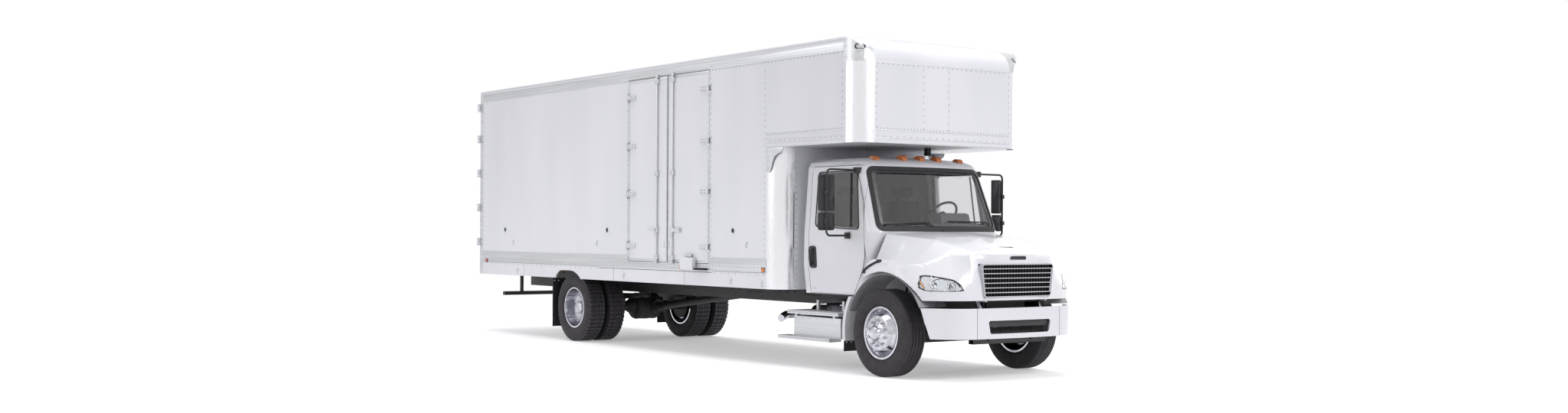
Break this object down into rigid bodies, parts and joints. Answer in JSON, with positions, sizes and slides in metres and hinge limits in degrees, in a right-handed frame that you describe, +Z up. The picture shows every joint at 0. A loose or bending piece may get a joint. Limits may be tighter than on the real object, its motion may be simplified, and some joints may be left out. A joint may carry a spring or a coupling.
{
  "type": "box truck",
  "caption": "Conventional-cab moving truck with a van body whose nose reaches over the cab, side and rear double doors, tilting hood and twin rear wheels.",
  "frame": {"origin": "on the floor under the middle of the truck", "axes": "+Z up, +Y to the rear of the truck, +X to the driver side (left of the truck)"},
  "size_m": [2.9134, 11.04, 3.8799],
  "materials": {
    "frame_black": "satin black chassis paint",
    "cast_dark": "dull black axle castings",
    "cab_white": "gloss white cab paint",
    "panel_white": "smooth white pre-painted body panel",
    "rail_grey": "mill-finish extruded aluminium",
    "polished_aluminium": "polished aluminium",
    "chrome": "bright chrome",
    "bumper_silver": "light silver bumper paint",
    "tyre_black": "black tyre rubber",
    "rubber_black": "black rubber",
    "plastic_black": "textured black plastic",
    "plastic_grey": "moulded grey plastic",
    "seat_grey": "grey seat cloth",
    "glass_clear": "clear tinted glass",
    "lamp_clear": "clear lamp lens",
    "amber": "amber lamp lens",
    "floor_wood": "laminated hardwood floor"
  },
  "bodies": {
    "chassis": {"frame_rails": "frame_black", "crossmembers": "frame_black", "front_axle": "cast_dark", "rear_axle": "cast_dark", "leaf_springs": "cast_dark", "driveshaft": "cast_dark", "engine": "cast_dark", "radiator": "plastic_black", "exhaust": "polished_aluminium", "fuel_tank": "polished_aluminium", "step_box": "polished_aluminium", "mud_flaps": "rubber_black", "underride_guard": "frame_black", "cab_shell": "cab_white", "windscreen": "glass_clear", "dashboard": "plastic_grey", "cab_seats": "seat_grey", "roof_lamps": "amber", "fender_liners": "plastic_grey", "quarter_fenders": "cab_white", "bumper": "bumper_silver", "box_floor": "floor_wood", "side_wall_left": "panel_white", "side_wall_right": "panel_white", "box_roof": "panel_white", "nose_front": "panel_white", "nose_floor": "panel_white", "bulkhead": "panel_white", "corner_posts": "polished_aluminium", "corner_caps": "rail_grey", "bottom_rails": "rail_grey", "skirts": "panel_white", "rear_frame": "rail_grey"},
    "steering_knuckle_left": {"knuckle_left": "cast_dark"},
    "steering_knuckle_right": {"knuckle_right": "cast_dark"},
    "track_rod": {"tie_rod": "cast_dark"},
    "steering_wheel": {"steering_wheel": "plastic_black"},
    "front_wheel_left": {"front_wheel_left": "polished_aluminium", "front_tyre_left": "tyre_black"},
    "front_wheel_right": {"front_wheel_right": "polished_aluminium", "front_tyre_right": "tyre_black"},
    "rear_wheels_left": {"rear_wheels_left": "polished_aluminium", "rear_tyres_left": "tyre_black"},
    "rear_wheels_right": {"rear_wheels_right": "polished_aluminium", "rear_tyres_right": "tyre_black"},
    "cab_door_left": {"cab_door_left": "cab_white", "door_glass_left": "glass_clear", "mirror_left": "plastic_black"},
    "cab_door_right": {"cab_door_right": "cab_white", "door_glass_right": "glass_clear", "mirror_right": "plastic_black"},
    "hood": {"hood": "cab_white", "grille": "chrome", "headlamps": "lamp_clear"},
    "side_door_front": {"side_door_front": "panel_white", "door_step": "rail_grey"},
    "side_door_rear": {"side_door_rear": "panel_white"},
    "rear_door_left": {"rear_door_left": "panel_white"},
    "rear_door_right": {"rear_door_right": "panel_white"}
  },
  "joints": [
    {"name": "steer_left", "type": "hinge", "parent": "chassis", "child": "steering_knuckle_left", "pos_m": [0.93, -4.47, 0.495], "axis": [0, 0, 1], "range_deg": [-34, 34]},
    {"name": "steer_right", "type": "hinge", "parent": "chassis", "child": "steering_knuckle_right", "pos_m": [-0.93, -4.47, 0.495], "axis": [0, 0, 1], "range_deg": [-34, 34]},
    {"name": "track_rod_pivot", "type": "hinge", "parent": "steering_knuckle_left", "child": "track_rod", "pos_m": [0.93, -4.3, 0.367], "axis": [0, 0, 1], "range_deg": [-34, 34]},
    {"name": "steering_wheel_turn", "type": "hinge", "parent": "chassis", "child": "steering_wheel", "pos_m": [0.45, -3.69, 1.83], "axis": [0, 0.7659, 0.6429], "range_deg": [-612, 612]},
    {"name": "front_wheel_left_spin", "type": "hinge", "parent": "steering_knuckle_left", "child": "front_wheel_left", "pos_m": [1.033, -4.47, 0.495], "axis": [1, 0, 0], "continuous": true},
    {"name": "front_wheel_right_spin", "type": "hinge", "parent": "steering_knuckle_right", "child": "front_wheel_right", "pos_m": [-1.033, -4.47, 0.495], "axis": [1, 0, 0], "continuous": true},
    {"name": "rear_wheels_left_spin", "type": "hinge", "parent": "chassis", "child": "rear_wheels_left", "pos_m": [0.92, 2.496, 0.495], "axis": [1, 0, 0], "continuous": true},
    {"name": "rear_wheels_right_spin", "type": "hinge", "parent": "chassis", "child": "rear_wheels_right", "pos_m": [-0.92, 2.496, 0.495], "axis": [1, 0, 0], "continuous": true},
    {"name": "cab_door_left_hinge", "type": "hinge", "parent": "chassis", "child": "cab_door_left", "pos_m": [1.011, -4.018, 1.6], "axis": [0, 0, -1], "range_deg": [0, 70]},
    {"name": "cab_door_right_hinge", "type": "hinge", "parent": "chassis", "child": "cab_door_right", "pos_m": [-1.011, -4.018, 1.6], "axis": [0, 0, 1], "range_deg": [0, 70]},
    {"name": "hood_tilt", "type": "hinge", "parent": "chassis", "child": "hood", "pos_m": [0, -5.4, 0.7], "axis": [1, 0, 0], "range_deg": [0, 58]},
    {"name": "side_door_front_hinge", "type": "hinge", "parent": "chassis", "child": "side_door_front", "pos_m": [-1.327, -1.207, 2.4], "axis": [0, 0, 1], "range_deg": [0, 175]},
    {"name": "side_door_rear_hinge", "type": "hinge", "parent": "chassis", "child": "side_door_rear", "pos_m": [-1.327, 0.807, 2.4], "axis": [0, 0, -1], "range_deg": [0, 175]},
    {"name": "rear_door_left_hinge", "type": "hinge", "parent": "chassis", "child": "rear_door_left", "pos_m": [1.325, 5.5, 2.4], "axis": [0, 0, -1], "range_deg": [0, 270]},
    {"name": "rear_door_right_hinge", "type": "hinge", "parent": "chassis", "child": "rear_door_right", "pos_m": [-1.325, 5.5, 2.4], "axis": [0, 0, 1], "range_deg": [0, 270]}
  ],
  "couplings": [
    {"joint": "steer_right", "follows": "steer_left", "ratio": 1},
    {"joint": "track_rod_pivot", "follows": "steer_left", "ratio": -1},
    {"joint": "steering_wheel_turn", "follows": "steer_left", "ratio": 18}
  ]
}
